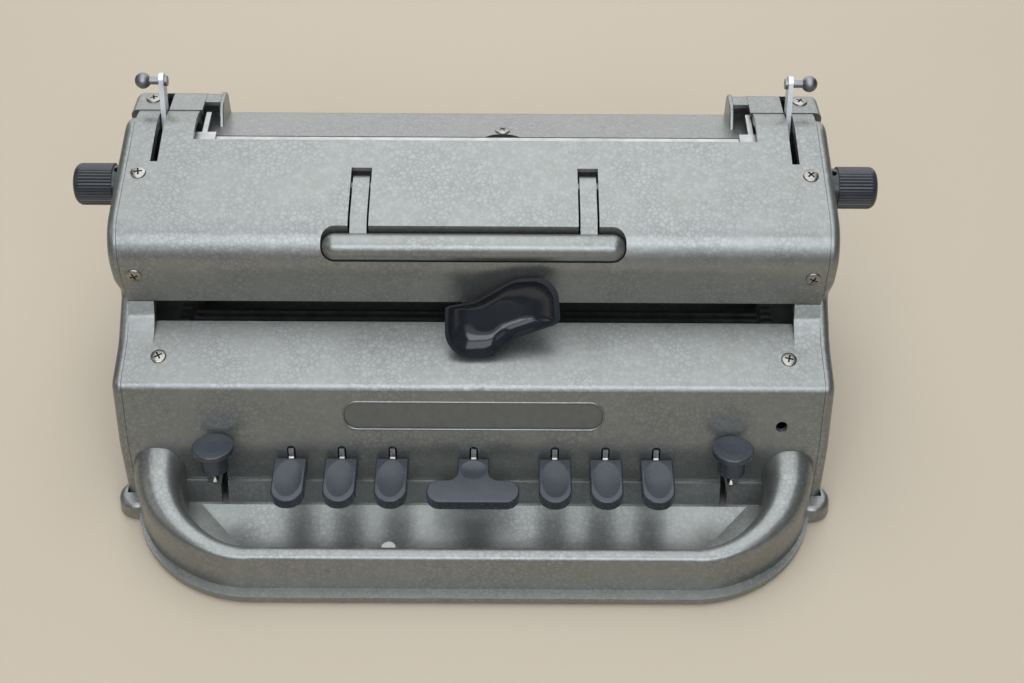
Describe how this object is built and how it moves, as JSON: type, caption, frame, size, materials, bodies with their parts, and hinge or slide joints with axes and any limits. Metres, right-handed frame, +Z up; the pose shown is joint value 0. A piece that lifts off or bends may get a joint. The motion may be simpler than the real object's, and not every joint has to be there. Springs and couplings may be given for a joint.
{
  "type": "mechanical braille writer",
  "caption": "Low enamelled office machine with levered keys in a front tray, a travelling head over a full-width paper slot, side feed knobs, release levers and a folding handle.",
  "frame": {"origin": "on the table under the middle of the machine's overall box", "axes": "+X to the user's right along the paper slot and feed shaft, +Y from the keys to the back, +Z up"},
  "size_m": [0.4, 0.222, 0.16],
  "materials": {
    "body_enamel": "hammertone enamel",
    "name_plate_face": "fine cross-hatched, bare",
    "bare_sheet": "flat enamel",
    "foot_rubber": "matt",
    "nickel_screw": "nickel plated",
    "key_plastic": "glossy blue-grey",
    "scoop_plastic": "satin dark grey",
    "lever_steel": "satin",
    "works_steel": "zinc plated",
    "roller_rubber": "dark",
    "works_brass": "plain",
    "bell_chrome": "polished"
  },
  "bodies": {
    "machine": {"base_casting": "body_enamel", "bottom_plate": "bare_sheet", "rubber_feet": "foot_rubber", "left_side_plate": "body_enamel", "right_side_plate": "body_enamel", "lower_front_cover": "body_enamel", "name_plate": "name_plate_face", "top_cover": "body_enamel", "rear_cover": "body_enamel", "cover_screws": "nickel_screw", "key_shaft": "works_steel", "bar_guides": "works_steel", "carriage_rails": "works_steel", "escapement_rack": "works_steel", "roller_bushes": "works_brass", "bell": "bell_chrome", "margin_bar": "works_steel"},
    "dot_key_1": {"dot_key_1": "key_plastic", "dot_lever_1": "lever_steel"},
    "dot_key_2": {"dot_key_2": "key_plastic", "dot_lever_2": "lever_steel"},
    "dot_key_3": {"dot_key_3": "key_plastic", "dot_lever_3": "lever_steel"},
    "dot_key_4": {"dot_key_4": "key_plastic", "dot_lever_4": "lever_steel"},
    "dot_key_5": {"dot_key_5": "key_plastic", "dot_lever_5": "lever_steel"},
    "dot_key_6": {"dot_key_6": "key_plastic", "dot_lever_6": "lever_steel"},
    "space_key": {"space_key": "key_plastic", "space_lever": "lever_steel"},
    "line_space_key": {"line_space_key": "key_plastic", "line_space_lever": "lever_steel"},
    "back_space_key": {"back_space_key": "key_plastic", "back_space_lever": "lever_steel"},
    "embossing_bar_1": {"embossing_bar_1": "works_steel"},
    "embossing_bar_2": {"embossing_bar_2": "works_steel"},
    "embossing_bar_3": {"embossing_bar_3": "works_steel"},
    "embossing_bar_4": {"embossing_bar_4": "works_steel"},
    "embossing_bar_5": {"embossing_bar_5": "works_steel"},
    "embossing_bar_6": {"embossing_bar_6": "works_steel"},
    "embossing_head": {"embossing_head": "works_steel"},
    "head_lever": {"head_lever": "scoop_plastic"},
    "pin_carriage": {"pin_carriage": "works_steel"},
    "spring_barrel": {"spring_barrel": "works_brass"},
    "roller": {"paper_roller": "roller_rubber", "left_knob": "key_plastic", "right_knob": "key_plastic", "ratchet_wheel": "works_steel"},
    "pressure_roller": {"pressure_roller": "roller_rubber"},
    "line_space_pawl": {"line_space_pawl": "works_steel"},
    "left_release_lever": {"left_release_lever": "lever_steel", "left_release_ball": "lever_steel"},
    "right_release_lever": {"right_release_lever": "lever_steel", "right_release_ball": "lever_steel"},
    "carry_handle": {"carry_handle": "body_enamel"},
    "left_margin_stop": {"left_margin_stop": "works_steel"},
    "right_margin_stop": {"right_margin_stop": "works_steel"},
    "bell_hammer": {"bell_hammer": "works_steel"}
  },
  "joints": [
    {"name": "dot_1_press", "type": "hinge", "parent": "machine", "child": "dot_key_1", "pos_m": [0, -0.01, 0.022], "axis": [1, 0, 0], "range_deg": [0, 7], "stiffness_Nm_per_rad": 1.6, "springref_deg": -5.73},
    {"name": "dot_2_press", "type": "hinge", "parent": "machine", "child": "dot_key_2", "pos_m": [0, -0.01, 0.022], "axis": [1, 0, 0], "range_deg": [0, 7], "stiffness_Nm_per_rad": 1.6, "springref_deg": -5.73},
    {"name": "dot_3_press", "type": "hinge", "parent": "machine", "child": "dot_key_3", "pos_m": [0, -0.01, 0.022], "axis": [1, 0, 0], "range_deg": [0, 7], "stiffness_Nm_per_rad": 1.6, "springref_deg": -5.73},
    {"name": "dot_4_press", "type": "hinge", "parent": "machine", "child": "dot_key_4", "pos_m": [0, -0.01, 0.022], "axis": [1, 0, 0], "range_deg": [0, 7], "stiffness_Nm_per_rad": 1.6, "springref_deg": -5.73},
    {"name": "dot_5_press", "type": "hinge", "parent": "machine", "child": "dot_key_5", "pos_m": [0, -0.01, 0.022], "axis": [1, 0, 0], "range_deg": [0, 7], "stiffness_Nm_per_rad": 1.6, "springref_deg": -5.73},
    {"name": "dot_6_press", "type": "hinge", "parent": "machine", "child": "dot_key_6", "pos_m": [0, -0.01, 0.022], "axis": [1, 0, 0], "range_deg": [0, 7], "stiffness_Nm_per_rad": 1.6, "springref_deg": -5.73},
    {"name": "space_press", "type": "hinge", "parent": "machine", "child": "space_key", "pos_m": [0, -0.01, 0.022], "axis": [1, 0, 0], "range_deg": [0, 7], "stiffness_Nm_per_rad": 1.6, "springref_deg": -5.73},
    {"name": "line_space_press", "type": "hinge", "parent": "machine", "child": "line_space_key", "pos_m": [0, -0.01, 0.022], "axis": [1, 0, 0], "range_deg": [0, 7], "stiffness_Nm_per_rad": 1.6, "springref_deg": -5.73},
    {"name": "back_space_press", "type": "hinge", "parent": "machine", "child": "back_space_key", "pos_m": [0, -0.01, 0.022], "axis": [1, 0, 0], "range_deg": [0, 7], "stiffness_Nm_per_rad": 1.6, "springref_deg": -5.73},
    {"name": "bar_1_lift", "type": "slide", "parent": "machine", "child": "embossing_bar_1", "axis": [0, 0, 1], "range_m": [0, 0.00293]},
    {"name": "bar_2_lift", "type": "slide", "parent": "machine", "child": "embossing_bar_2", "axis": [0, 0, 1], "range_m": [0, 0.00348]},
    {"name": "bar_3_lift", "type": "slide", "parent": "machine", "child": "embossing_bar_3", "axis": [0, 0, 1], "range_m": [0, 0.00403]},
    {"name": "bar_4_lift", "type": "slide", "parent": "machine", "child": "embossing_bar_4", "axis": [0, 0, 1], "range_m": [0, 0.00458]},
    {"name": "bar_5_lift", "type": "slide", "parent": "machine", "child": "embossing_bar_5", "axis": [0, 0, 1], "range_m": [0, 0.00513]},
    {"name": "bar_6_lift", "type": "slide", "parent": "machine", "child": "embossing_bar_6", "axis": [0, 0, 1], "range_m": [0, 0.00568]},
    {"name": "head_travel", "type": "slide", "parent": "machine", "child": "embossing_head", "axis": [1, 0, 0], "range_m": [-0.125, 0.105]},
    {"name": "head_lever_press", "type": "hinge", "parent": "embossing_head", "child": "head_lever", "pos_m": [0.014, 0.02, 0.0926], "axis": [1, 0, 0], "range_deg": [0, 2], "stiffness_Nm_per_rad": 0.6, "springref_deg": -5.73},
    {"name": "carriage_travel", "type": "slide", "parent": "machine", "child": "pin_carriage", "axis": [1, 0, 0], "range_m": [-0.125, 0.105]},
    {"name": "barrel_turn", "type": "hinge", "parent": "machine", "child": "spring_barrel", "pos_m": [-0.159, 0.064, 0.038], "axis": [1, 0, 0], "range_deg": [-460, 460]},
    {"name": "roller_turn", "type": "hinge", "parent": "machine", "child": "roller", "pos_m": [0, 0.0585, 0.119], "axis": [1, 0, 0], "continuous": true},
    {"name": "pressure_turn", "type": "hinge", "parent": "machine", "child": "pressure_roller", "pos_m": [0, 0.0687, 0.10133], "axis": [1, 0, 0], "continuous": true},
    {"name": "pawl_swing", "type": "hinge", "parent": "machine", "child": "line_space_pawl", "pos_m": [-0.1495, 0.05, 0.098], "axis": [1, 0, 0], "range_deg": [-10, 0.5]},
    {"name": "left_release", "type": "hinge", "parent": "machine", "child": "left_release_lever", "pos_m": [-0.157, 0.074, 0.112], "axis": [1, 0, 0], "range_deg": [0, 38]},
    {"name": "right_release", "type": "hinge", "parent": "machine", "child": "right_release_lever", "pos_m": [0.157, 0.074, 0.112], "axis": [1, 0, 0], "range_deg": [0, 38]},
    {"name": "handle_swing", "type": "hinge", "parent": "machine", "child": "carry_handle", "pos_m": [0, 0.043, 0.1315], "axis": [-1, 0, 0], "range_deg": [0, 100]},
    {"name": "left_margin_slide", "type": "slide", "parent": "machine", "child": "left_margin_stop", "axis": [1, 0, 0], "range_m": [-0.002, 0.11]},
    {"name": "right_margin_slide", "type": "slide", "parent": "machine", "child": "right_margin_stop", "axis": [1, 0, 0], "range_m": [-0.11, 0]},
    {"name": "hammer_swing", "type": "hinge", "parent": "machine", "child": "bell_hammer", "pos_m": [0.036, 0.09, 0.119], "axis": [0, 0, 1], "range_deg": [0, 12], "stiffness_Nm_per_rad": 0.004}
  ],
  "couplings": [
    {"joint": "dot_1_press", "follows": "bar_1_lift", "rad_per_m": 41.667},
    {"joint": "dot_2_press", "follows": "bar_2_lift", "rad_per_m": 35.088},
    {"joint": "dot_3_press", "follows": "bar_3_lift", "rad_per_m": 30.303},
    {"joint": "dot_4_press", "follows": "bar_4_lift", "rad_per_m": 26.667},
    {"joint": "dot_5_press", "follows": "bar_5_lift", "rad_per_m": 23.809},
    {"joint": "dot_6_press", "follows": "bar_6_lift", "rad_per_m": 21.505},
    {"joint": "carriage_travel", "follows": "head_travel", "ratio": 1},
    {"joint": "barrel_turn", "follows": "head_travel", "rad_per_m": -62.5},
    {"joint": "pressure_turn", "follows": "roller_turn", "ratio": -2.3333},
    {"joint": "pawl_swing", "follows": "line_space_press", "ratio": -1.4}
  ]
}
